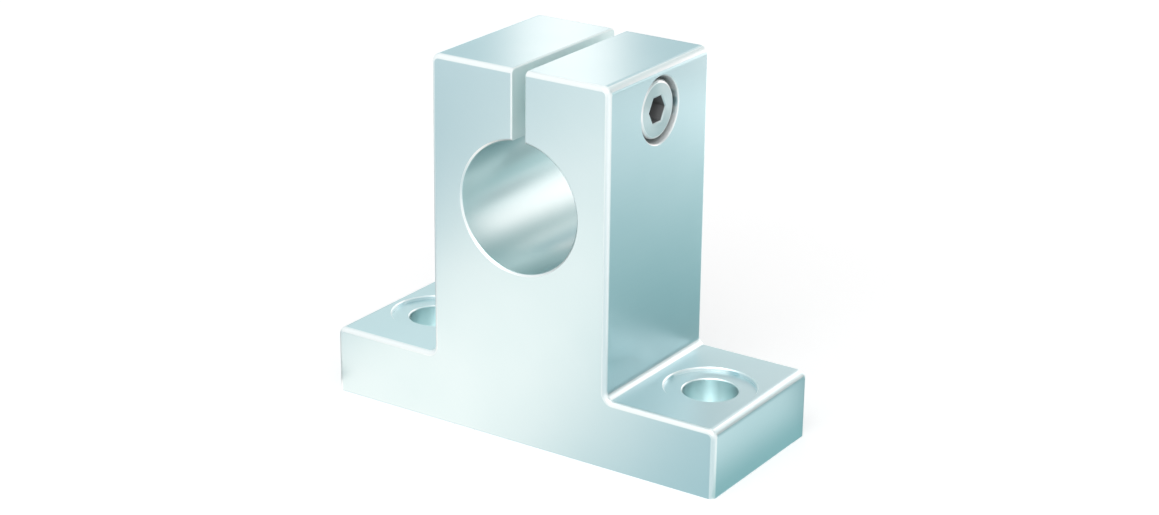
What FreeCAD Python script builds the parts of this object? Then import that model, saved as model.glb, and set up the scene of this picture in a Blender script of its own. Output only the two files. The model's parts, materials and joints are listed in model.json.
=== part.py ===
import FreeCAD, Part
import math
import os

import Sketcher

# Shaft support block: a T shaped aluminium block that clamps a round shaft in its split bore.
# Frame: origin under the middle of the block on its mounting face, X along the foot, Y along the
# shaft, Z up. The clamp screw enters from the +X side. Lengths are millimetres.

doc = FreeCAD.newDocument("shaft_support_block")
sheet = doc.addObject("Spreadsheet::Sheet", "Sizes")

# Driving dimensions: alias, value, what it is
SIZES = [
    ("shaft_diameter", 16.0, "bore, the size of the shaft that it clamps"),
    ("axis_height", 29.5, "mounting face to the shaft's axis"),
    ("screw_above_bore", 3.3, "top of the bore to the clamp screw's axis"),
    ("top_above_screw", 5.2, "clamp screw's axis to the top face"),
    ("column_width", 24.5, "the two jaws across the slot"),
    ("block_depth", 21.5, "block along the shaft"),
    ("foot_thickness", 8.5, "foot at both sides"),
    ("column_to_hole", 7.75, "column's side to the mounting hole's axis"),
    ("hole_to_end", 7.0, "mounting hole's axis to the end of the foot"),
    ("slot_width", 1.8, "gap between the two jaws"),
    ("mount_hole", 6.6, "mounting hole, clearance for a 6 mm screw"),
    ("spot_face", 11.0, "flat seat around the mounting hole"),
    ("spot_depth", 0.5, "depth of the spot face"),
    ("corner_round", 1.0, "rounded corners of the T outline"),
    ("inner_round", 1.0, "fillet between the column and the foot"),
    ("edge_round", 0.6, "rounded edges of the front and the back face"),
    ("bore_chamfer", 0.25, "broken edge at both mouths of the bore"),
    ("slot_chamfer", 0.15, "broken edges of the slot"),
    ("hole_chamfer", 0.15, "broken edges of the drilled holes, spot faces and counterbore"),
    ("screw_size", 4.0, "clamp screw's thread, over its crests"),
    ("screw_grip", 7.2, "length of the screw in the tapped jaw"),
    ("head_width", 7.0, "screw head's diameter"),
    ("head_height", 4.0, "screw head's height"),
    ("head_round", 0.4, "rounded rim of the screw head"),
    ("socket_flats", 3.0, "hexagon socket across its flats"),
    ("socket_depth", 2.0, "hexagon socket's depth"),
    ("tip_chamfer", 0.5, "chamfer at the screw's end"),
    ("head_recess", 0.35, "side face to the screw head's face"),
    ("head_gap", 0.5, "between the head and its counterbore, all round"),
    ("shank_gap", 0.25, "between the screw and its clearance hole, all round"),
    ("thread_gap", 0.05, "between the screw and the tapped hole, all round"),
    ("tip_gap", 1.4, "tapped hole past the screw's end"),
]
for row, (alias, value, meaning) in enumerate(SIZES, start=1):
    sheet.set("A%d" % row, meaning)
    sheet.set("B%d" % row, str(value))
    sheet.setAlias("B%d" % row, alias)

# Places that follow from the driving dimensions
DERIVED = [
    ("screw_height", "axis_height + shaft_diameter / 2 + screw_above_bore", "clamp screw's axis"),
    ("block_height", "screw_height + top_above_screw", "top face"),
    ("hole_place", "column_width / 2 + column_to_hole", "mounting hole's axis from the middle"),
    ("block_length", "2 * (hole_place + hole_to_end)", "foot from end to end"),
    ("counterbore_depth", "head_height + head_recess", "pocket for the screw head"),
    ("seat_place", "column_width / 2 - counterbore_depth", "seat of the screw head"),
    ("shank_length", "seat_place + slot_width / 2 + screw_grip", "screw under its head"),
    ("tapped_depth", "shank_length - seat_place + tip_gap", "tapped hole from the middle"),
]
for row, (alias, formula, meaning) in enumerate(DERIVED, start=len(SIZES) + 1):
    sheet.set("A%d" % row, meaning)
    sheet.set("B%d" % row, "=" + formula)
    sheet.setAlias("B%d" % row, alias)
doc.recompute()


def size(alias):
    """The present value of one named size."""
    return float(sheet.get(alias))


def bind(target, path, formula):
    """Tie a property to the sheet: each word of the formula that is a size becomes a reference."""
    names = [alias for alias, value, meaning in SIZES + DERIVED]
    words = formula.split(" ")
    target.setExpression(path, " ".join("Sizes." + word if word in names else word for word in words))


def origin_plane(body, role):
    """One of the body's own origin planes."""
    return [plane for plane in body.Origin.OriginFeatures if plane.Role == role][0]


def add_sketch(body, name, role, offset=None):
    """A sketch on an origin plane, moved along the plane's normal by a formula."""
    sketch = body.newObject("Sketcher::SketchObject", name)
    sketch.AttachmentSupport = [(origin_plane(body, role), "")]
    sketch.MapMode = "FlatFace"
    if offset:
        bind(sketch, "AttachmentOffset.Base.z", offset)
    return sketch


def constrain(sketch, name, formula, *where):
    """A named sketch dimension tied to the sheet."""
    index = sketch.addConstraint(Sketcher.Constraint(*where))
    sketch.renameConstraint(index, name)
    bind(sketch, "Constraints." + name, formula)


def add_outline(sketch, points):
    """A closed outline of straight lines, each level or upright ones held so."""
    lines = []
    for here, there in zip(points, points[1:] + points[:1]):
        start = FreeCAD.Vector(here[0], here[1], 0)
        end = FreeCAD.Vector(there[0], there[1], 0)
        lines.append(sketch.addGeometry(Part.LineSegment(start, end), False))
    for line, following in zip(lines, lines[1:] + lines[:1]):
        sketch.addConstraint(Sketcher.Constraint("Coincident", line, 2, following, 1))
    for line, here, there in zip(lines, points, points[1:] + points[:1]):
        if here[1] == there[1]:
            sketch.addConstraint(Sketcher.Constraint("Horizontal", line))
        elif here[0] == there[0]:
            sketch.addConstraint(Sketcher.Constraint("Vertical", line))
    return lines


def add_circle(sketch, across, up, diameter):
    """A circle with a guessed place and size, to be tied by constraints."""
    centre = FreeCAD.Vector(across, up, 0)
    return sketch.addGeometry(Part.Circle(centre, FreeCAD.Vector(0, 0, 1), diameter / 2), False)


def edges_of(feature, wanted):
    """Names of the feature's edges whose box passes a test."""
    found = []
    for number, edge in enumerate(feature.Shape.Edges, start=1):
        if wanted(edge.BoundBox):
            found.append("Edge%d" % number)
    return found


def near(first, second):
    """Whether two coordinates are the same to a hundredth of a millimetre."""
    return abs(first - second) < 0.01


def dress(body, kind, name, formula, wanted):
    """A fillet or a chamfer on those edges of the body so far whose box passes a test."""
    base = body.Tip
    feature = body.newObject("PartDesign::" + kind, name)
    feature.Base = (base, edges_of(base, wanted))
    bind(feature, "Radius" if kind == "Fillet" else "Size", formula)
    doc.recompute()


def cut_through(body, name, sketch):
    """A pocket that runs through the whole block both ways from its sketch."""
    pocket = body.newObject("PartDesign::Pocket", name)
    pocket.Profile = sketch
    pocket.Type = "ThroughAll"
    pocket.SideType = "Symmetric"
    doc.recompute()


def drill(body, name, sketch, diameter, depth=None, pocket=None):
    """A drilled hole at each circle of a sketch, with a flat bottomed counterbore if one is given."""
    hole = body.newObject("PartDesign::Hole", name)
    hole.Profile = sketch
    doc.recompute()
    hole.ThreadType = "None"
    hole.Threaded = False
    bind(hole, "Diameter", diameter)
    hole.DepthType = "Dimension" if depth else "ThroughAll"
    if depth:
        bind(hole, "Depth", depth)
    hole.DrillPoint = "Angled" if depth else "Flat"
    if pocket:
        hole.DrillPoint = "Flat"
        hole.HoleCutType = "Counterbore"
        hole.HoleCutCustomValues = True
        bind(hole, "HoleCutDiameter", pocket[0])
        bind(hole, "HoleCutDepth", pocket[1])
    doc.recompute()


# Support block
def make_support_block():
    body = doc.addObject("PartDesign::Body", "support_block")
    body.Label = "support_block"

    # The T outline, drawn with sharp corners, as wide as the block is deep
    end = size("block_length") / 2
    side = size("column_width") / 2
    foot = size("foot_thickness")
    top = size("block_height")
    outline = add_sketch(body, "Outline", "XZ_Plane")
    lines = add_outline(outline, [
        (-end, 0), (end, 0), (end, foot), (side, foot),
        (side, top), (-side, top), (-side, foot), (-end, foot),
    ])
    bottom, right_end, right_foot, right_side, roof, left_side, left_foot, left_end = lines
    outline.addConstraint(Sketcher.Constraint("Symmetric", bottom, 1, bottom, 2, -1, 1))
    outline.addConstraint(Sketcher.Constraint("Equal", right_end, left_end))
    outline.addConstraint(Sketcher.Constraint("Equal", right_foot, left_foot))
    constrain(outline, "length", "block_length", "DistanceX", bottom, 1, bottom, 2, 2 * end)
    constrain(outline, "foot", "foot_thickness", "DistanceY", right_end, 1, right_end, 2, foot)
    constrain(outline, "width", "column_width", "DistanceX", roof, 2, roof, 1, 2 * side)
    constrain(outline, "height", "block_height", "DistanceY", right_end, 1, right_side, 2, top)
    blank = body.newObject("PartDesign::Pad", "Blank")
    blank.Profile = outline
    blank.SideType = "Symmetric"
    bind(blank, "Length", "block_depth")
    doc.recompute()

    # Rounded corners along the shaft's direction, the mounting face stays sharp
    def runs_deep(box):
        return near(box.YLength, size("block_depth")) and near(box.XLength, 0)

    def outer_corner(box):
        return runs_deep(box) and (near(box.ZMax, top) or (near(box.ZMax, foot) and near(abs(box.XMax), end)))

    def inner_corner(box):
        return runs_deep(box) and near(box.ZMax, foot) and near(abs(box.XMax), side)

    dress(body, "Fillet", "OutlineCorners", "corner_round", outer_corner)
    dress(body, "Fillet", "InnerCorners", "inner_round", inner_corner)

    # The whole rim of the front and the back face, all but the edge on the mounting face
    def rim(box):
        in_face = near(box.YLength, 0) and near(abs(box.YMax), size("block_depth") / 2)
        return in_face and not near(box.ZMax, 0)

    dress(body, "Fillet", "FaceRims", "edge_round", rim)

    # The bore for the shaft, and the slot that parts the two jaws above it
    axis = size("axis_height")
    bore = add_sketch(body, "BoreCircle", "XZ_Plane")
    circle = add_circle(bore, 0, axis, size("shaft_diameter"))
    bore.addConstraint(Sketcher.Constraint("PointOnObject", circle, 3, -2))
    constrain(bore, "height", "axis_height", "DistanceY", -1, 1, circle, 3, axis)
    constrain(bore, "bore", "shaft_diameter", "Diameter", circle, size("shaft_diameter"))
    cut_through(body, "Bore", bore)

    def bore_mouth(box):
        round_edge = near(box.XLength, size("shaft_diameter")) and near(box.ZLength, size("shaft_diameter"))
        return round_edge and near(box.YLength, 0)

    dress(body, "Chamfer", "BoreMouths", "bore_chamfer", bore_mouth)

    half_slot = size("slot_width") / 2
    over = top + half_slot
    gap = add_sketch(body, "SlotOutline", "XZ_Plane")
    floor, right, roof, left = add_outline(gap, [
        (-half_slot, axis), (half_slot, axis), (half_slot, over), (-half_slot, over),
    ])
    constrain(gap, "middle", "slot_width / 2", "DistanceX", floor, 1, -1, 1, half_slot)
    constrain(gap, "start", "axis_height", "DistanceY", -1, 1, floor, 1, axis)
    constrain(gap, "slot", "slot_width", "DistanceX", floor, 1, floor, 2, 2 * half_slot)
    constrain(gap, "reach", "block_height + slot_width / 2", "DistanceY", -1, 1, roof, 1, over)
    cut_through(body, "Slot", gap)

    def slot_edge(box):
        above_bore = box.ZMax > size("screw_height")
        return above_bore and near(box.XLength, 0) and near(abs(box.XMax), half_slot)

    dress(body, "Chamfer", "SlotEdges", "slot_chamfer", slot_edge)

    # Mounting holes with their spot faces, drilled down from the foot
    place = size("hole_place")
    seats = add_sketch(body, "MountCentres", "XY_Plane", "foot_thickness")
    for name, side_sign in (("right", 1), ("left", -1)):
        circle = add_circle(seats, side_sign * place, 0, size("mount_hole"))
        seats.addConstraint(Sketcher.Constraint("PointOnObject", circle, 3, -1))
        ends = (-1, 1, circle, 3) if side_sign > 0 else (circle, 3, -1, 1)
        constrain(seats, name + "_place", "hole_place", "DistanceX", *ends, place)
        constrain(seats, name + "_size", "mount_hole", "Diameter", circle, size("mount_hole"))
    drill(body, "MountHoles", seats, "mount_hole", pocket=("spot_face", "spot_depth"))

    # The clamp screw's way in: counterbore and clearance hole through the near jaw, up to the slot
    high = size("screw_height")
    entry = add_sketch(body, "ScrewEntry", "YZ_Plane", "column_width / 2")
    circle = add_circle(entry, 0, high, size("screw_size"))
    entry.addConstraint(Sketcher.Constraint("PointOnObject", circle, 3, -2))
    constrain(entry, "height", "screw_height", "DistanceY", -1, 1, circle, 3, high)
    constrain(entry, "size", "screw_size", "Diameter", circle, size("screw_size"))
    wide = "screw_size + 2 * shank_gap"
    head_pocket = ("head_width + 2 * head_gap", "counterbore_depth")
    drill(body, "ScrewPassage", entry, wide, depth="column_width / 2", pocket=head_pocket)

    # Broken edges: both ends of each mounting hole, the spot faces' rims, the counterbore's rim
    def hole_mouth(box):
        if near(box.YLength, size("mount_hole")):
            return near(box.ZLength, 0)
        if near(box.YLength, size("spot_face")):
            return near(box.ZMin, foot)
        return near(box.YLength, size("head_width") + 2 * size("head_gap")) and near(box.XMin, side)

    dress(body, "Chamfer", "HoleMouths", "hole_chamfer", hole_mouth)

    # The tapped hole in the far jaw, drilled from the middle of the slot and blind
    start = add_sketch(body, "TappedStart", "YZ_Plane")
    circle = add_circle(start, 0, high, size("screw_size"))
    start.addConstraint(Sketcher.Constraint("PointOnObject", circle, 3, -2))
    constrain(start, "height", "screw_height", "DistanceY", -1, 1, circle, 3, high)
    constrain(start, "size", "screw_size", "Diameter", circle, size("screw_size"))
    drill(body, "TappedHole", start, "screw_size + 2 * thread_gap", depth="tapped_depth")
    body.Placement = FreeCAD.Placement()
    return body


# Clamp screw
def make_clamp_screw():
    # Drawn with its head up and the underside of the head at its own origin
    body = doc.addObject("PartDesign::Body", "clamp_screw")
    body.Label = "clamp_screw"
    thick = size("screw_size") / 2
    wide = size("head_width") / 2
    tall = size("head_height")
    long = size("shank_length")
    chamfer = size("tip_chamfer")
    half = add_sketch(body, "HalfOutline", "XZ_Plane")
    lines = add_outline(half, [
        (0, -long), (thick - chamfer, -long), (thick, chamfer - long), (thick, 0),
        (wide, 0), (wide, tall), (0, tall),
    ])
    tip, slant, shank, seat, rim, face, axis = lines
    half.addConstraint(Sketcher.Constraint("PointOnObject", axis, 1, -2))
    constrain(half, "shank", "shank_length", "DistanceY", tip, 1, seat, 1, long)
    half.addConstraint(Sketcher.Constraint("PointOnObject", seat, 1, -1))
    constrain(half, "thick", "screw_size / 2", "DistanceX", -1, 1, seat, 1, thick)
    constrain(half, "tip_across", "tip_chamfer", "DistanceX", tip, 2, slant, 2, chamfer)
    constrain(half, "tip_along", "tip_chamfer", "DistanceY", tip, 2, slant, 2, chamfer)
    constrain(half, "wide", "head_width / 2", "DistanceX", -1, 1, rim, 1, wide)
    constrain(half, "tall", "head_height", "DistanceY", rim, 1, rim, 2, tall)
    turned = body.newObject("PartDesign::Revolution", "Turned")
    turned.Profile = half
    turned.ReferenceAxis = (half, ["V_Axis"])
    turned.Angle = 360
    doc.recompute()

    def head_rim(box):
        return near(box.ZLength, 0) and near(box.ZMax, tall) and near(box.XLength, 2 * wide)

    dress(body, "Fillet", "HeadRim", "head_round", head_rim)

    # The hexagon socket, with two flats level once the screw is in the block
    across = size("socket_flats") / math.sqrt(3)
    corners = []
    for step in range(6):
        turn = math.radians(30 + 60 * step)
        corners.append((across * math.cos(turn), across * math.sin(turn)))
    hexagon = add_sketch(body, "Hexagon", "XY_Plane", "head_height")
    sides = []
    for here, there in zip(corners, corners[1:] + corners[:1]):
        start = FreeCAD.Vector(here[0], here[1], 0)
        end = FreeCAD.Vector(there[0], there[1], 0)
        sides.append(hexagon.addGeometry(Part.LineSegment(start, end), False))
    ring = hexagon.addGeometry(Part.Circle(FreeCAD.Vector(), FreeCAD.Vector(0, 0, 1), across), True)
    for this, following in zip(sides, sides[1:] + sides[:1]):
        hexagon.addConstraint(Sketcher.Constraint("Coincident", this, 2, following, 1))
    for this in sides:
        hexagon.addConstraint(Sketcher.Constraint("PointOnObject", this, 1, ring))
    for this in sides[1:]:
        hexagon.addConstraint(Sketcher.Constraint("Equal", sides[0], this))
    hexagon.addConstraint(Sketcher.Constraint("Coincident", ring, 3, -1, 1))
    hexagon.addConstraint(Sketcher.Constraint("Vertical", sides[5]))
    constrain(hexagon, "flats", "socket_flats", "DistanceX", sides[2], 2, sides[5], 1, size("socket_flats"))
    socket = body.newObject("PartDesign::Pocket", "Socket")
    socket.Profile = hexagon
    bind(socket, "Length", "socket_depth")
    doc.recompute()

    # Laid along X with its head out at the near side, its underside on the counterbore's floor
    body.Placement = FreeCAD.Placement(FreeCAD.Vector(), FreeCAD.Rotation(FreeCAD.Vector(0, 1, 0), 90))
    bind(body, "Placement.Base.x", "seat_place")
    bind(body, "Placement.Base.z", "screw_height")
    return body


pieces = [make_support_block(), make_clamp_screw()]
doc.recompute()

for thing in doc.Objects:
    if {"Invalid", "Error"} & set(thing.State):
        raise RuntimeError("failed: " + thing.Name)
for piece in pieces:
    if piece.Shape.isNull() or not piece.Shape.isValid() or len(piece.Shape.Solids) != 1:
        raise RuntimeError("bad shape: " + piece.Label)

os.makedirs("parts", exist_ok=True)
for piece in pieces:
    piece.Shape.exportStep("parts/" + piece.Label + ".step")
    box = piece.Shape.BoundBox
    low = (round(box.XMin, 3), round(box.YMin, 3), round(box.ZMin, 3))
    high = (round(box.XMax, 3), round(box.YMax, 3), round(box.ZMax, 3))
    print(piece.Label, round(piece.Shape.Volume, 2), low, high)
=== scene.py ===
"""The look of the shaft support block: satin aluminium, a bright clamp screw, a pale studio."""

import json
import math

import bpy
from mathutils import Matrix, Vector


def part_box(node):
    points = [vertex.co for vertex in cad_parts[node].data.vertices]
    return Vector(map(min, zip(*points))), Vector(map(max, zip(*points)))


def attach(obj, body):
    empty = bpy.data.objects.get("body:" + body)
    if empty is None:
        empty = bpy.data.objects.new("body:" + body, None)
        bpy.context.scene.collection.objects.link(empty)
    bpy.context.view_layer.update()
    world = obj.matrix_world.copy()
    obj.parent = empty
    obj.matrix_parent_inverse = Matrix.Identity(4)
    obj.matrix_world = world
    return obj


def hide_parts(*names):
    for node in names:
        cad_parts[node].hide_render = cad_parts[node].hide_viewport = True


MM = 0.001


# The frame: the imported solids, and the sizes in millimetres that the looks are worked out from.
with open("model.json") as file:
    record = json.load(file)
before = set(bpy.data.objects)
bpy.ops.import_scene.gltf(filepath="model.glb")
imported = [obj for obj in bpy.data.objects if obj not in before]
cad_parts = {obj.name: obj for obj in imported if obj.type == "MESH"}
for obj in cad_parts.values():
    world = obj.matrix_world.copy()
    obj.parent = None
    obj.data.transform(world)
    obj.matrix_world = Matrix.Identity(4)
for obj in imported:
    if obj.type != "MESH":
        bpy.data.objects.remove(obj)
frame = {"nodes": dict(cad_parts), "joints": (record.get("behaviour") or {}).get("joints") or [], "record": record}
bpy.context.view_layer.update()

block = frame["nodes"]["support_block"]
block_low, block_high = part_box("support_block")
screw_low, screw_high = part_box("clamp_screw")
mounts = {m["name"]: m for m in frame["record"]["mounts"]}
screw_joint = frame["joints"][0]

FRONT_FACE = block_low.y / MM
FOOT_END = block_high.x / MM
BORE_HEIGHT = mounts["shaft_bore"]["pos_m"][2] / MM
BORE_RADIUS = mounts["shaft_bore"]["dims"]["r_mm"]
BORE_TOP = BORE_HEIGHT + BORE_RADIUS
HOLE_PLACE = mounts["mounting_holes"]["dims"]["spacing_x_mm"] / 2
HOLE_RADIUS = mounts["mounting_holes"]["dims"]["hole_r_mm"]
SEAT_LEVEL = mounts["mounting_holes"]["pos_m"][2] / MM
SCREW_LEVEL = screw_joint["pos_m"][2] / MM
HEAD_SEAT = screw_joint["pos_m"][0] / MM
HEAD_TOP = screw_high.x / MM
SCREW_TIP = screw_low.x / MM

# Sizes in millimetres that the record doesn't state.
SPOT_RADIUS = 5.5
COUNTERBORE_RADIUS = 4.0
SLOT_HALF = 0.9
COLUMN_HALF = 12.25

# How far outside the wall of a hole or slot its own colour and marks begin to fade, and are gone.
FADE_START = 0.02
FADE_END = 0.06

# The character of a noise: its detail and its roughness.
SOFT = (2.0, 0.5)
CRISP = (3.0, 0.6)
SANDY = (3.0, 0.7)
DUSTY = (2.0, 0.6)

# How high the relief of a bump stands, in millimetres.
BUMP_HEIGHT = 0.015


def colour(r, g, b):
    return (r, g, b, 1.0)


WHITE = colour(1.0, 1.0, 1.0)


class Graph:
    """A material's or world's nodes, written so that a line reads like a formula."""

    def __init__(self, owner):
        owner.use_nodes = True
        self.tree = owner.node_tree
        self.tree.nodes.clear()

    def node(self, kind, **settings):
        made = self.tree.nodes.new(kind)
        for name, value in settings.items():
            setattr(made, name, value)
        return made

    def feed(self, socket, value):
        if isinstance(value, bpy.types.NodeSocket):
            self.tree.links.new(value, socket)
        else:
            socket.default_value = value

    def math(self, operation, *values):
        made = self.node("ShaderNodeMath", operation=operation)
        for socket, value in zip(made.inputs, values):
            self.feed(socket, value)
        return made.outputs[0]

    def chain(self, operation, *values):
        """The operation over the first two values, then over what that gave and the next one."""
        total = values[0]
        for value in values[1:]:
            total = self.math(operation, total, value)
        return total

    def add(self, *values):
        return self.chain("ADD", *values)

    def times(self, *values):
        return self.chain("MULTIPLY", *values)

    def either(self, *values):
        return self.chain("MAXIMUM", *values)

    def less(self, a, b):
        return self.math("SUBTRACT", a, b)

    def opposite(self, a):
        return self.less(1.0, a)

    def size(self, a):
        return self.math("ABSOLUTE", a)

    def radius(self, a, b):
        """The length of the vector (a, b)."""
        return self.math("SQRT", self.add(self.times(a, a), self.times(b, b)))

    def ramp(self, value, start, end):
        """0 where value is at start, 1 where it is at end, smooth between; start may be above end."""
        made = self.node("ShaderNodeMapRange", interpolation_type="SMOOTHSTEP", clamp=True)
        low, high = min(start, end), max(start, end)
        self.feed(made.inputs["Value"], value)
        made.inputs["From Min"].default_value = low
        made.inputs["From Max"].default_value = high
        made.inputs["To Min"].default_value = 0.0 if start < end else 1.0
        made.inputs["To Max"].default_value = 1.0 if start < end else 0.0
        return made.outputs["Result"]

    def inside(self, distance, wall):
        """1 as far as a hole's or slot's wall and on it, and 0 a hair beyond."""
        return self.ramp(distance, wall + FADE_END, wall + FADE_START)

    def vector(self, x, y=0.0, z=0.0):
        made = self.node("ShaderNodeCombineXYZ")
        for socket, value in zip(made.inputs, (x, y, z)):
            self.feed(socket, value)
        return made.outputs[0]

    def parts(self, vector):
        made = self.node("ShaderNodeSeparateXYZ")
        self.feed(made.inputs[0], vector)
        return made.outputs

    def noise(self, place, scale, character=SOFT):
        detail, roughness = character
        made = self.node("ShaderNodeTexNoise", noise_dimensions="3D")
        self.feed(made.inputs["Vector"], place)
        made.inputs["Scale"].default_value = scale
        made.inputs["Detail"].default_value = detail
        made.inputs["Roughness"].default_value = roughness
        return made.outputs["Fac"]

    def marks(self, scales, measures, character=SOFT):
        """A noise over up to three measures, each as fine as its scale says."""
        scaled = [self.times(measure, scale) for measure, scale in zip(measures, scales)]
        return self.noise(self.vector(*scaled), 1.0, character)

    def varied(self, level, *swings):
        """A level that swings about itself; each swing is a noise and how far it carries."""
        carried = [self.times(self.less(noise, 0.5), reach) for noise, reach in swings]
        return self.add(level, *carried)

    # The Mix node's sockets 2 and 3 are its numbers, and 6 and 7 its colours.

    def blend(self, share, a, b):
        """A number that is a where share is 0 and b where it is 1."""
        made = self.node("ShaderNodeMix", data_type="FLOAT")
        self.feed(made.inputs[0], share)
        self.feed(made.inputs[2], a)
        self.feed(made.inputs[3], b)
        return made.outputs[0]

    def tint(self, share, a, b):
        """A colour that is a where share is 0 and b where it is 1."""
        made = self.node("ShaderNodeMix", data_type="RGBA")
        self.feed(made.inputs[0], share)
        self.feed(made.inputs[6], a)
        self.feed(made.inputs[7], b)
        return made.outputs[2]

    def place(self):
        """The point on the object, in millimetres, and the surface's own direction there."""
        coordinate = self.node("ShaderNodeTexCoord")
        scaled = self.node("ShaderNodeVectorMath", operation="SCALE")
        self.feed(scaled.inputs[0], coordinate.outputs["Object"])
        scaled.inputs["Scale"].default_value = 1 / MM
        return scaled.outputs[0], coordinate.outputs["Normal"]

    def bump(self, relief, strength):
        made = self.node("ShaderNodeBump")
        self.feed(made.inputs["Height"], relief)
        made.inputs["Strength"].default_value = strength
        made.inputs["Distance"].default_value = BUMP_HEIGHT * MM
        return made.outputs[0]

    def metal(self, metallic, base, roughness, normal):
        made = self.node("ShaderNodeBsdfPrincipled")
        self.feed(made.inputs["Metallic"], metallic)
        self.feed(made.inputs["Base Color"], base)
        self.feed(made.inputs["Roughness"], roughness)
        self.feed(made.inputs["Normal"], normal)
        return made

    def glow(self, tone, strength):
        made = self.node("ShaderNodeEmission")
        self.feed(made.inputs["Color"], tone)
        self.feed(made.inputs["Strength"], strength)
        return made.outputs[0]

    def background(self, strength):
        made = self.node("ShaderNodeBackground")
        made.inputs["Color"].default_value = WHITE
        made.inputs["Strength"].default_value = strength
        return made.outputs[0]

    def result(self, shader, kind="ShaderNodeOutputMaterial"):
        self.feed(self.node(kind).inputs["Surface"], shader)


# The block's material.

ALUMINIUM = colour(0.62, 0.765, 0.795)
ALUMINIUM_DEEP = colour(0.57, 0.73, 0.76)
# A painted highlight for the roundings and chamfers.
ALUMINIUM_PAINTED_HIGHLIGHT = colour(0.92, 0.98, 0.985)
BORE_COLOUR = colour(0.55, 0.69, 0.70)
# The foot holes, the screw's passage and the slot: painted lighter than the faces, as painted light that lifts the
# shade inside them.
HOLE_PAINTED_LIGHTER = colour(0.66, 0.80, 0.81)
PASSAGE_PAINTED_LIGHTER = colour(0.78, 0.80, 0.80)
SLOT_PAINTED_LIGHTER = colour(0.82, 0.94, 0.94)

# Where a mask starts and where it is full: heights and places in millimetres.
SPOT_HEIGHTS = (SEAT_LEVEL - 3.0, SEAT_LEVEL - 2.0)
SLOT_HEIGHTS = (BORE_TOP - 0.6, BORE_TOP - 0.3)
PASSAGE_PLACES = (1.0 - COLUMN_HALF, 1.5 - COLUMN_HALF)

# The same for directions: how far a surface faces along Y, or along the axis that it faces most.
PASSAGE_FACING = (0.98, 0.90)
CUT_FACING = (0.90, 0.99)
ALONG_BAR = (0.04, 0.01)
CROWN = (0.955, 0.90)
WHOLE_ROUNDING = (0.9993, 0.985)

# The cutter's arcs, about a point to the left of the block and below it.
ARC_MIDDLE_X = -70.0
ARC_MIDDLE_Z = -55.0
ARC_WANDER = 1.5
WANDER_SCALE = 0.05
ARC_SCALE = 3.2

# How fine the other marks are, for each millimetre of what they follow.
LINE_SCALES = (3.0, 0.06, 3.0)
BORE_SCALES = (4.0, 0.3)
DRILL_SCALES = (5.0, 4.0)
GRAIN_SCALE = 5.0
CLOUD_SCALE = 0.09

# How far clouds, marks and grain carry the colour, the gloss and the relief.
CLOUD_COLOUR = 1.2
MARKS_COLOUR = 0.5
MARKS_GLOSS = 0.05
GRAIN_GLOSS = 0.03
TURNED_GLOSS = 0.04
MARKS_RELIEF = 0.35
TURNED_RELIEF = 0.15
GRAIN_RELIEF = 0.15
BLOCK_BUMP = 0.2

MILLED_ROUGHNESS = 0.315
TURNED_ROUGHNESS = 0.31
NARROW_ROUGHNESS = 0.5
ROUNDING_ROUGHNESS = 0.36

# How much of a surface scatters light as a dull one does.
NARROW_DULL = 0.6
HOLE_DULL = 0.1
ROUNDING_DULL = 0.2


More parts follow.
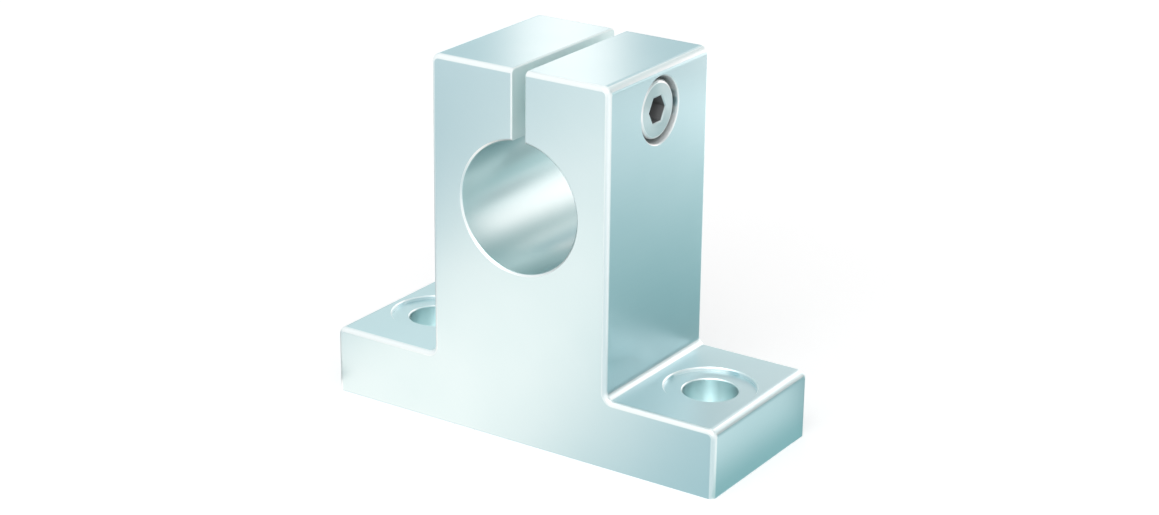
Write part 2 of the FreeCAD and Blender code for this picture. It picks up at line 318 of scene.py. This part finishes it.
def aluminium():
    material = bpy.data.materials.new("satin_aluminium")
    g = Graph(material)
    point, facing = g.place()
    x, y, z = g.parts(point)
    nx, ny, nz = (g.size(n) for n in g.parts(facing))

    # Where each kind of cut is: the bore, the foot holes, the screw's passage and the slot.
    from_bore = g.radius(x, g.less(z, BORE_HEIGHT))
    from_hole = g.radius(g.less(g.size(x), HOLE_PLACE), y)
    from_screw = g.radius(y, g.less(z, SCREW_LEVEL))
    in_bore = g.inside(from_bore, BORE_RADIUS)
    in_hole = g.inside(from_hole, HOLE_RADIUS)
    in_spot = g.times(g.inside(from_hole, SPOT_RADIUS), g.ramp(z, *SPOT_HEIGHTS))
    in_passage = g.times(g.inside(from_screw, COUNTERBORE_RADIUS), g.ramp(x, *PASSAGE_PLACES),
                         g.ramp(ny, *PASSAGE_FACING), g.opposite(in_bore))
    in_slot = g.times(g.inside(g.size(x), SLOT_HALF), g.ramp(z, *SLOT_HEIGHTS))
    turned = g.either(in_bore, in_hole, in_passage)
    narrow = g.either(in_slot, in_passage)

    # The roundings and chamfers get a painted highlight, near white: on the crown of those that run along
    # the bar, and over the whole width of the others.
    squareness = g.either(nx, ny, nz)
    rounding = g.blend(g.ramp(ny, *ALONG_BAR), g.ramp(squareness, *WHOLE_ROUNDING),
                       g.ramp(squareness, *CROWN))
    rounding = g.times(rounding, g.opposite(turned))

    # Cutter marks: arcs on the two cut faces, lines along the bar elsewhere, rings in the holes.
    wander = g.times(g.noise(point, WANDER_SCALE), ARC_WANDER)
    arc_radius = g.add(g.radius(g.less(x, ARC_MIDDLE_X), g.less(z, ARC_MIDDLE_Z)), wander)
    arcs = g.noise(g.vector(arc_radius), ARC_SCALE, CRISP)
    lines = g.marks(LINE_SCALES, (x, y, z), CRISP)
    marks = g.blend(g.ramp(ny, *CUT_FACING), lines, arcs)
    marks = g.blend(g.either(in_hole, in_spot), marks, g.marks(DRILL_SCALES, (from_hole, z)))
    marks = g.blend(in_passage, marks, g.marks(DRILL_SCALES, (from_screw, x)))
    marks = g.blend(in_bore, marks, g.marks(BORE_SCALES, (y, from_bore)))
    grain = g.noise(point, GRAIN_SCALE, SANDY)
    cloud = g.noise(point, CLOUD_SCALE)

    share = g.varied(0.5, (cloud, CLOUD_COLOUR), (marks, MARKS_COLOUR))
    base = g.tint(share, ALUMINIUM_DEEP, ALUMINIUM)
    base = g.tint(in_bore, base, BORE_COLOUR)
    # Painted light: the foot holes, the passage and the slot are lighter, to lift the shade inside them.
    base = g.tint(in_hole, base, HOLE_PAINTED_LIGHTER)
    base = g.tint(in_passage, base, PASSAGE_PAINTED_LIGHTER)
    base = g.tint(in_slot, base, SLOT_PAINTED_LIGHTER)
    # The painted highlight on the roundings.
    base = g.tint(rounding, base, ALUMINIUM_PAINTED_HIGHLIGHT)

    roughness = g.varied(MILLED_ROUGHNESS, (marks, MARKS_GLOSS), (grain, GRAIN_GLOSS))
    roughness = g.blend(turned, roughness, g.varied(TURNED_ROUGHNESS, (marks, TURNED_GLOSS)))
    roughness = g.blend(narrow, roughness, NARROW_ROUGHNESS)
    roughness = g.blend(rounding, roughness, ROUNDING_ROUGHNESS)

    marks_height = g.times(marks, g.blend(turned, MARKS_RELIEF, TURNED_RELIEF))
    relief = g.add(marks_height, g.times(grain, GRAIN_RELIEF))
    dull = g.either(g.times(narrow, NARROW_DULL), g.times(in_hole, HOLE_DULL),
                    g.times(rounding, ROUNDING_DULL))
    shader = g.metal(g.opposite(dull), base, roughness, g.bump(relief, BLOCK_BUMP))
    g.result(shader.outputs[0])
    return material


# The clamp screw: an M4 socket head cap screw with its thread. Its lengths run along X.

THREAD_PITCH = 0.7
THREAD_RADIUS = 2.0
CORE_RADIUS = 1.57
NECK_ROUND = 0.15
NECK_LENGTH = 0.9
TIP_BEVEL = 0.5
TIP_FACE = 0.8
HEAD_RADIUS = 3.5
HEAD_ROUND = 0.4
SEAT_BEVEL = 0.12
SOCKET_FLAT = 1.5
SOCKET_MOUTH = 1.64
SOCKET_BEVEL = 0.12
SOCKET_DEPTH = 2.0
DRILL_RADIUS = 1.05
DRILL_POINT = 0.35

# One turn of the thread: shares of the pitch, and how much of the thread's depth is cut there.
THREAD_PROFILE = ((0.0625, 0.0), (0.4375, 1.0), (0.5625, 1.0), (0.9375, 0.0))
THREAD_START = HEAD_SEAT - NECK_LENGTH
SOCKET_FLOOR = HEAD_TOP - SOCKET_DEPTH

# The mesh: points round a ring, rings over the head's rounding, and the small ring at either end.
AROUND = 96
HEAD_STEPS = 8
END_RADIUS = 0.02

STEEL = colour(0.62, 0.72, 0.73)
STEEL_DEEP = colour(0.52, 0.63, 0.64)
# A painted highlight for the head's rounded edge.
STEEL_PAINTED_HIGHLIGHT = colour(0.92, 0.94, 0.94)
# The socket is painted dark, and its floor, where it faces out of the socket, lighter as painted light.
SOCKET_DARK = colour(0.20, 0.205, 0.21)
SOCKET_FLOOR_PAINTED_LIGHT = colour(0.30, 0.305, 0.31)

# Where a mask starts and where it is full, in millimetres, and for the socket's floor how far it
# faces along X.
RIM_REACH = (HEAD_RADIUS - HEAD_ROUND, HEAD_RADIUS - HEAD_ROUND + 0.08)
RIM_PLACES = (HEAD_TOP - HEAD_ROUND - 0.2, HEAD_TOP - HEAD_ROUND)
SOCKET_REACH = (2.0, 1.9)
SOCKET_TOP = (HEAD_TOP - SOCKET_BEVEL, HEAD_TOP - SOCKET_BEVEL - 0.08)
SOCKET_BOTTOM = (SOCKET_FLOOR - 0.6, SOCKET_FLOOR - 0.5)
FLOOR_FACING = (0.5, 0.7)

LATHE_SCALES = (6.0, 5.0)
STEEL_GRAIN_SCALE = 6.0
GRAIN_COLOUR = 0.4
LATHE_GLOSS = 0.12
STEEL_GRAIN_GLOSS = 0.06
LATHE_RELIEF = 0.8
STEEL_GRAIN_RELIEF = 0.2
STEEL_BUMP = 0.3
STEEL_ROUGHNESS = 0.34
RIM_ROUGHNESS = 0.30
SOCKET_ROUGHNESS = 0.55
SOCKET_METALLIC = 0.4
LATHE_ANISOTROPY = 0.85
QUARTER_TURN = 0.25


def steel():
    material = bpy.data.materials.new("turned_steel")
    g = Graph(material)
    point, facing = g.place()
    x, y, z = g.parts(point)
    from_axis = g.radius(y, z)
    lathe = g.marks(LATHE_SCALES, (from_axis, x), CRISP)
    grain = g.noise(point, STEEL_GRAIN_SCALE, DUSTY)

    # The head's rounded edge gets a painted highlight, and the broached socket is painted dark, with painted light
    # on its floor where that faces out.
    rim_highlight = g.times(g.ramp(from_axis, *RIM_REACH), g.ramp(x, *RIM_PLACES))
    in_socket = g.times(g.ramp(x, *SOCKET_TOP), g.ramp(from_axis, *SOCKET_REACH),
                        g.ramp(x, *SOCKET_BOTTOM))
    lit_socket_floor = g.times(in_socket, g.ramp(g.size(g.parts(facing)[0]), *FLOOR_FACING))

    base = g.tint(g.varied(lathe, (grain, GRAIN_COLOUR)), STEEL_DEEP, STEEL)
    # The painted highlight on the head's rounded edge.
    base = g.tint(rim_highlight, base, STEEL_PAINTED_HIGHLIGHT)
    # The socket painted dark, and painted light on its floor where it faces out.
    base = g.tint(in_socket, base, SOCKET_DARK)
    base = g.tint(lit_socket_floor, base, SOCKET_FLOOR_PAINTED_LIGHT)
    roughness = g.varied(STEEL_ROUGHNESS, (lathe, LATHE_GLOSS), (grain, STEEL_GRAIN_GLOSS))
    roughness = g.blend(rim_highlight, roughness, RIM_ROUGHNESS)
    roughness = g.blend(in_socket, roughness, SOCKET_ROUGHNESS)
    relief = g.add(g.times(lathe, LATHE_RELIEF), g.times(grain, STEEL_GRAIN_RELIEF))

    metallic = g.blend(in_socket, 1.0, SOCKET_METALLIC)
    shader = g.metal(metallic, base, roughness, g.bump(relief, STEEL_BUMP))
    shader.inputs["Anisotropic"].default_value = LATHE_ANISOTROPY
    shader.inputs["Anisotropic Rotation"].default_value = QUARTER_TURN
    tangent = g.node("ShaderNodeTangent", direction_type="RADIAL", axis="X")
    g.feed(shader.inputs["Tangent"], tangent.outputs[0])
    g.result(shader.outputs[0])
    return material


SHARP_ABOVE = math.radians(30)


def mesh_object(name, points, faces, material):
    """A smooth shaded object, from points in millimetres, with its sharp edges kept."""
    mesh = bpy.data.meshes.new(name)
    mesh.from_pydata([tuple(c * MM for c in p) for p in points], [], faces)
    mesh.validate()
    mesh.update()
    made = bpy.data.objects.new(name, mesh)
    bpy.context.scene.collection.objects.link(made)
    mesh.materials.append(material)
    mesh.shade_smooth()
    mesh.set_sharp_from_angle(angle=SHARP_ABOVE)
    return made


def round_ring(reach, x):
    """A ring of the screw: its reach from the axis and its place along it, the same at any angle."""
    return lambda angle: (reach, x)


def hexagon_ring(flat, x):
    """A ring of the socket, whose six flats lie that far from the axis."""
    sixth = math.tau / 6

    def at(angle):
        from_flat = (angle + sixth / 2) % sixth - sixth / 2
        return flat / math.cos(from_flat), x

    return at


def thread_ring(turns, cut):
    """A ring that winds on by one pitch, so many turns down the thread and cut to a share of its depth.

    It stays between the neck and the tip, runs out over the first pitch, and keeps to the tip's bevel.
    Every ring closes on itself, so that one narrow strip, along the screw's top, turns back by a pitch.
    """
    def at(angle):
        x = THREAD_START + THREAD_PITCH * (0.5 - turns - angle / math.tau)
        run_out = min(1.0, max(0.0, (THREAD_START - x) / THREAD_PITCH))
        reach = THREAD_RADIUS - (THREAD_RADIUS - CORE_RADIUS) * cut * run_out
        tip_reach = THREAD_RADIUS - TIP_BEVEL + max(0.0, x - SCREW_TIP)
        return min(reach, tip_reach), min(THREAD_START, max(SCREW_TIP, x))

    return at


def head_rings():
    """From the drill point in the socket out over the head's top, and down to where the thread starts."""
    rings = [
        round_ring(END_RADIUS, SOCKET_FLOOR - DRILL_POINT),
        round_ring(DRILL_RADIUS, SOCKET_FLOOR),
        hexagon_ring(SOCKET_FLAT, SOCKET_FLOOR),
        hexagon_ring(SOCKET_FLAT, HEAD_TOP - SOCKET_BEVEL),
        hexagon_ring(SOCKET_MOUTH, HEAD_TOP),
        round_ring(HEAD_RADIUS - HEAD_ROUND, HEAD_TOP),
    ]
    for step in range(1, HEAD_STEPS + 1):
        turn = math.radians(90) * step / HEAD_STEPS
        rings.append(round_ring(HEAD_RADIUS - HEAD_ROUND + HEAD_ROUND * math.sin(turn),
                                HEAD_TOP - HEAD_ROUND + HEAD_ROUND * math.cos(turn)))
    rings += [
        round_ring(HEAD_RADIUS, HEAD_SEAT + SEAT_BEVEL),
        round_ring(HEAD_RADIUS - SEAT_BEVEL, HEAD_SEAT),
        round_ring(THREAD_RADIUS + NECK_ROUND, HEAD_SEAT),
        round_ring(THREAD_RADIUS, HEAD_SEAT - NECK_ROUND),
        round_ring(THREAD_RADIUS, THREAD_START),
    ]
    return rings


def thread_rings():
    """The thread from its start to the tip, and the tip's flat end."""
    turns = int((THREAD_START - SCREW_TIP) / THREAD_PITCH) + 2
    rings = [thread_ring(turn + place, cut) for turn in range(turns) for place, cut in THREAD_PROFILE]
    return rings + [round_ring(TIP_FACE, SCREW_TIP), round_ring(END_RADIUS, SCREW_TIP)]


def clamp_screw(material):
    """The screw along X, with its axis at y = z = 0 and its head's top at HEAD_TOP."""
    rings = head_rings() + thread_rings()
    angles = [math.tau * i / AROUND for i in range(AROUND)]
    points = []
    for ring in rings:
        for angle in angles:
            reach, x = ring(angle)
            points.append((x, reach * math.sin(angle), reach * math.cos(angle)))

    faces = []
    for start in range(0, len(points) - AROUND, AROUND):
        for i in range(AROUND):
            j = (i + 1) % AROUND
            faces.append((start + i, start + j, start + AROUND + j, start + AROUND + i))
    faces.append(tuple(reversed(range(AROUND))))
    faces.append(tuple(range(len(points) - AROUND, len(points))))
    return mesh_object("clamp_screw_detailed", points, faces, material)


# The studio: a pale floor, a white room, one soft lamp, and papers that only the metal shows.

FLOOR_SIZE = 6000.0
FLOOR_LEVEL = -0.02
FLOOR_GREY = colour(0.72, 0.72, 0.72)
FLOOR_GLOW_NEAR = 0.455
FLOOR_GLOW_FAR = 0.57
FLOOR_GLOW_REACH = (30.0, 180.0)
ROOM_LIGHT = 0.6
ROOM_SEEN = 1.0
LAMP_PLACE = (60.0, -170.0, 240.0)
LAMP_AIM = (0.0, 0.0, 20.0)
LAMP_SIDE = 180.0
LAMP_GLOW = 2.0


def seen_rays(g):
    """1 for the rays that see the white background: the camera's, and those of gloss and glass."""
    light_path = g.node("ShaderNodeLightPath")
    return g.either(light_path.outputs["Is Camera Ray"], light_path.outputs["Is Glossy Ray"],
                    light_path.outputs["Is Transmission Ray"])


def world_light():
    """The room: an even light on the objects, and white where it is seen."""
    world = bpy.data.worlds.new("studio")
    bpy.context.scene.world = world
    g = Graph(world)
    mix = g.node("ShaderNodeMixShader")
    g.feed(mix.inputs[0], seen_rays(g))
    g.feed(mix.inputs[1], g.background(ROOM_LIGHT))
    g.feed(mix.inputs[2], g.background(ROOM_SEEN))
    g.result(mix.outputs[0], "ShaderNodeOutputWorld")


def soft_lamp():
    """One large soft lamp, in front of the block, to its right and above it."""
    lamp = bpy.data.lights.new("key", "AREA")
    lamp.shape = "RECTANGLE"
    lamp.size = LAMP_SIDE * MM
    lamp.size_y = LAMP_SIDE * MM
    # An area lamp glows as bright as its watts over four times its area.
    lamp.energy = 4 * LAMP_GLOW * lamp.size * lamp.size_y
    made = bpy.data.objects.new("key", lamp)
    bpy.context.scene.collection.objects.link(made)
    backward = (Vector(LAMP_PLACE) - Vector(LAMP_AIM)).normalized()
    turn = backward.to_track_quat("Z", "Y").to_matrix().to_4x4()
    made.matrix_world = Matrix.Translation(Vector(LAMP_PLACE) * MM) @ turn
    made.visible_camera = False


def card(name, low, high, material):
    """A flat piece of the stage, from low to high in its own plane, in millimetres."""
    corners = [(low[0], low[1], 0), (high[0], low[1], 0), (high[0], high[1], 0), (low[0], high[1], 0)]
    made = mesh_object(name, corners, [(0, 1, 2, 3)], material)
    return made


def floor_material():
    """A pale grey that keeps the block's shadow, and that glows to white for the rays that see it."""
    material = bpy.data.materials.new("pale_floor")
    g = Graph(material)
    diffuse = g.node("ShaderNodeBsdfDiffuse")
    diffuse.inputs["Color"].default_value = FLOOR_GREY
    point = g.place()[0]
    x, y = g.parts(point)[:2]
    away = g.ramp(g.radius(x, y), *FLOOR_GLOW_REACH)
    strength = g.times(seen_rays(g), g.blend(away, FLOOR_GLOW_NEAR, FLOOR_GLOW_FAR))
    both = g.node("ShaderNodeAddShader")
    g.feed(both.inputs[0], diffuse.outputs[0])
    g.feed(both.inputs[1], g.glow(WHITE, strength))
    g.result(both.outputs[0])
    return material


def floor():
    made = card("floor", (-FLOOR_SIZE / 2, -FLOOR_SIZE / 2), (FLOOR_SIZE / 2, FLOOR_SIZE / 2),
                floor_material())
    made.location = (0.0, 0.0, FLOOR_LEVEL * MM)


def paper_material(name, along, stops, veils):
    """A paper that glows plainly, in colours that change along one direction of its own plane.

    Each stop is a place along that direction, in millimetres, and the colour there. Each veil is
    another direction, the places between which the veil comes in, and its colour.
    """
    material = bpy.data.materials.new(name)
    g = Graph(material)
    point = g.place()[0]
    x, y = g.parts(point)[:2]

    def reach(direction):
        return g.add(g.times(x, direction[0]), g.times(y, direction[1]))

    tone = colour(*stops[0][1])
    for (start, _), (end, after) in zip(stops, stops[1:]):
        tone = g.tint(g.ramp(reach(along), start, end), tone, colour(*after))
    for direction, start, end, after in veils:
        tone = g.tint(g.ramp(reach(direction), start, end), tone, colour(*after))
    g.result(g.glow(tone, 1.0))
    return material


def paper(name, low, high, along, stops, veils=(), lift=0.0, heading=None, distance=0.0):
    """A paper that only shows in reflections, from low to high in its own plane, in millimetres.

    It lies on the floor, and its lift says which of two papers lies on top. With a heading it stands
    upright at a distance that way and faces the block, and its second measure is the height.
    """
    made = card(name, low, high, paper_material(name, along, stops, veils))
    if heading is None:
        made.location = (0.0, 0.0, lift * MM)
    else:
        ahead = Vector((math.cos(heading), math.sin(heading), 0.0))
        up = Vector((0.0, 0.0, 1.0))
        turn = Matrix((up.cross(-ahead), up, -ahead)).transposed().to_4x4()
        made.matrix_world = Matrix.Translation(ahead * distance * MM) @ turn
    made.visible_camera = False
    made.visible_diffuse = False
    made.visible_shadow = False


# The camera, fitted to the drawing: how far round to the right it stands, how far down it looks, how
# it leans, and its places in millimetres.

CAMERA_YAW = math.radians(33.36)
CAMERA_PITCH = math.radians(20.85)
CAMERA_ROLL = math.radians(0.67)
CAMERA_DISTANCE = 291.06
LOOK_AT = Vector((1.47, 0.0, 20.49))
FOCAL_PIXELS = 2444.8
IMAGE_WIDTH = 1159
SENSOR_WIDTH = 36.0
NEAREST = 10.0
FARTHEST = 20000.0


def add_camera():
    data = bpy.data.cameras.new("camera")
    data.sensor_width = SENSOR_WIDTH
    data.lens = FOCAL_PIXELS / IMAGE_WIDTH * SENSOR_WIDTH
    data.clip_start = NEAREST * MM
    data.clip_end = FARTHEST * MM
    camera = bpy.data.objects.new("camera", data)
    bpy.context.scene.collection.objects.link(camera)
    ahead = Vector((-math.sin(CAMERA_YAW) * math.cos(CAMERA_PITCH),
                    math.cos(CAMERA_YAW) * math.cos(CAMERA_PITCH),
                    -math.sin(CAMERA_PITCH)))
    level_right = Vector((math.cos(CAMERA_YAW), math.sin(CAMERA_YAW), 0.0))
    level_up = level_right.cross(ahead)
    right = math.cos(CAMERA_ROLL) * level_right + math.sin(CAMERA_ROLL) * level_up
    up = math.cos(CAMERA_ROLL) * level_up - math.sin(CAMERA_ROLL) * level_right
    turn = Matrix((right, up, -ahead)).transposed().to_4x4()
    camera.matrix_world = Matrix.Translation((LOOK_AT - ahead * CAMERA_DISTANCE) * MM) @ turn
    bpy.context.scene.camera = camera


# The papers' colours. Those above 1 are brighter than the room, and the metal shows them near white.

PALE = (0.50, 0.64, 0.69)
EDGE_PALE = (0.60, 0.75, 0.78)
TOP_PALE = (0.60, 0.74, 0.77)
MIST = (0.75, 0.92, 0.92)
FOOT_MIST = (0.80, 0.88, 0.88)
COOL_WHITE = (0.95, 1.00, 1.00)
RIGHT_WHITE = (0.92, 1.00, 1.02)
END_WHITE = (1.00, 1.08, 1.08)
BEHIND_WHITE = (1.10, 1.10, 1.10)
TOP_EDGE_WHITE = (1.12, 1.10, 1.08)
FAR_WHITE = (1.80, 1.80, 1.80)
WHITE_BAND = (1.47, 1.31, 1.24)
TOP_WHITE = (1.60, 1.42, 1.37)
FEET_WHITE = (1.35, 1.38, 1.36)
CROWN_WHITE = (1.75, 1.60, 1.55)
LEFT_WHITE = (1.20, 1.27, 1.27)
GLINT = (1.70, 1.65, 1.62)
AWAY_BRIGHT = (1.90, 2.05, 2.05)
AWAY_WHITE = (1.15, 1.20, 1.20)
BORE_WARM = (1.35, 1.30, 1.30)
BORE_GLOW = (2.15, 1.84, 1.80)
DIM_BRIGHT = (1.15, 1.30, 1.30)
DIM_WHITE = (1.00, 1.12, 1.12)
UNDER_HOLE = (4.60, 4.40, 4.40)
FAR_GREY = (0.80, 0.80, 0.80)
FEET_GREY = (0.55, 0.58, 0.58)
BEHIND_GREY = (0.45, 0.55, 0.55)
BORE_GREY = (0.55, 0.66, 0.66)
BORE_SHADE = (0.45, 0.47, 0.47)
DIM = (0.34, 0.42, 0.43)
FEET_SHADE = (0.28, 0.33, 0.35)
HOLE_SHADE = (0.20, 0.36, 0.37)
TEAL_LOW = (0.30, 0.50, 0.52)
TEAL = (0.34, 0.55, 0.56)
END_TEAL = (0.37, 0.60, 0.61)
TEAL_HIGH = (0.45, 0.64, 0.65)
DEEP_TEAL = (0.20, 0.38, 0.40)
NIGHT_TEAL = (0.06, 0.15, 0.16)
NIGHT = (0.04, 0.06, 0.06)

# Directions in a paper's own plane. A slanted one counts each measure by its own share.
ALONG_FIRST = (1.0, 0.0)
AGAINST_FIRST = (-1.0, 0.0)
ALONG_SECOND = (0.0, 1.0)
FRONT_SLANT = (1.0, -0.26)
FLOOR_SLANT = (-1.5, 1.0)
BORE_SLANT = (1.0, -0.7)

# Where the standing papers are: to the camera's view as level and as upright faces turn it back.
BACK_LEFT = math.radians(124.0)
BACK_RIGHT = math.radians(56.0)
NEAR = 70.0
NEARER = 69.0
FAR = 200.0

# How close the papers on the floor come to the block. Under a foot hole: half the paper's side, half
# the bright line's width, and where its light has faded.
FRONT_GAP = 0.02
END_GAP = 0.03
HOLE_PAPER = 3.0
HOLE_BRIGHT = 0.2
HOLE_DARK = 1.5


def floor_papers():
    """The papers round the block, mirrored in its upright faces."""
    paper("paper_front", low=(-150, -150), high=(70, FRONT_FACE - FRONT_GAP), along=FRONT_SLANT,
          stops=[(-46, PALE), (-24, WHITE_BAND), (-10, WHITE_BAND), (30, EDGE_PALE)], lift=0.02)
    paper("paper_right", low=(24, 8), high=(120, 135), along=ALONG_FIRST,
          stops=[(27, TEAL_LOW), (45, TEAL), (60, TEAL_HIGH), (84, RIGHT_WHITE)],
          veils=[(FLOOR_SLANT, -2, 16, MIST)], lift=0.01)
    paper("paper_end", low=(FOOT_END + END_GAP, -11.5), high=(40, 32), along=ALONG_FIRST,
          stops=[(28, END_TEAL), (37, END_WHITE)],
          veils=[(FLOOR_SLANT, -32, -26, DEEP_TEAL)], lift=0.04)
    paper("paper_behind", low=(-50, 12), high=(24, 110), along=ALONG_FIRST,
          stops=[(-8, BEHIND_WHITE), (6, BEHIND_GREY)],
          veils=[(ALONG_SECOND, 52, 66, COOL_WHITE)], lift=0.15)
    paper("paper_side", low=(-150, -15), high=(-29, 100), along=ALONG_FIRST, stops=[(-150, DIM)],
          lift=0.1)
    paper("paper_far", low=(0, 111), high=(200, 300), along=FLOOR_SLANT,
          stops=[(-30, FAR_GREY), (20, FAR_WHITE)], lift=0.2)


def back_left_papers():
    """The papers behind to the left, mirrored in the tops of the column and the feet."""
    paper("paper_top", low=(-70, 54), high=(60, 115), along=ALONG_FIRST,
          stops=[(-13, TOP_PALE), (-1, TOP_WHITE), (1, TOP_WHITE), (13, TOP_PALE), (20, TOP_PALE),
                 (29, TOP_EDGE_WHITE)],
          heading=BACK_LEFT, distance=NEAR)
    paper("paper_feet", low=(-70, 2), high=(60, 54), along=ALONG_SECOND,
          stops=[(8, FEET_GREY), (28, FEET_WHITE), (36, FEET_WHITE), (43, FEET_SHADE)],
          veils=[(AGAINST_FIRST, 3, 10, FOOT_MIST)], heading=BACK_LEFT, distance=NEAR)
    paper("paper_crown", low=(-7, 64), high=(7, 82), along=ALONG_FIRST, stops=[(0, CROWN_WHITE)],
          heading=BACK_LEFT, distance=NEARER)
    paper("paper_left_high", low=(-40, 40), high=(-5, 54), along=ALONG_FIRST, stops=[(0, LEFT_WHITE)],
          heading=BACK_LEFT, distance=NEARER)
    paper("paper_glint", low=(-4, 24), high=(17, 39), along=ALONG_SECOND, stops=[(26, GLINT)],
          heading=BACK_LEFT, distance=NEARER)


def hole_papers():
    """A small paper under each foot hole, mirrored in its wall, with a bright line down the middle."""
    rightward = (math.cos(CAMERA_YAW), math.sin(CAMERA_YAW))
    for side in (-1, 1):
        middle = side * HOLE_PLACE
        across = middle * rightward[0]
        paper("paper_hole_%d" % (side + 1), low=(middle - HOLE_PAPER, -HOLE_PAPER),
              high=(middle + HOLE_PAPER, HOLE_PAPER), along=rightward,
              stops=[(across - HOLE_DARK, HOLE_SHADE), (across - HOLE_BRIGHT, UNDER_HOLE),
                     (across + HOLE_BRIGHT, UNDER_HOLE), (across + HOLE_DARK, HOLE_SHADE)],
              lift=0.02)


def back_right_papers():
    """The papers behind to the right, mirrored in the bore and in the roundings."""
    paper("paper_away_left", low=(-80, 0), high=(4, 75), along=ALONG_FIRST,
          stops=[(-12, AWAY_BRIGHT), (2, AWAY_WHITE)], heading=BACK_RIGHT, distance=FAR)
    paper("paper_away_right", low=(4, 0), high=(90, 75), along=ALONG_FIRST, stops=[(4, NIGHT)],
          heading=BACK_RIGHT, distance=FAR)
    paper("paper_bore", low=(-60, 25), high=(5, 120), along=ALONG_SECOND,
          stops=[(24, BORE_WARM), (42, BORE_GLOW), (56, BORE_GLOW), (84, BORE_GREY)],
          veils=[(BORE_SLANT, -27, -12, BORE_SHADE)], heading=BACK_RIGHT, distance=NEAR)
    paper("paper_dim", low=(5, 27), high=(70, 110), along=ALONG_SECOND,
          stops=[(31, NIGHT_TEAL), (38, DIM_BRIGHT), (46, DIM_WHITE), (60, DIM)],
          heading=BACK_RIGHT, distance=NEAR)


# Put together.

block.data.materials.clear()
block.data.materials.append(aluminium())

screw = clamp_screw(steel())
screw.location = (0.0, 0.0, SCREW_LEVEL * MM)
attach(screw, "screw")
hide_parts("clamp_screw")

world_light()
floor()
soft_lamp()
floor_papers()
back_left_papers()
hole_papers()
back_right_papers()
add_camera()
bpy.context.scene.view_settings.view_transform = "Standard"

bpy.context.view_layer.update()
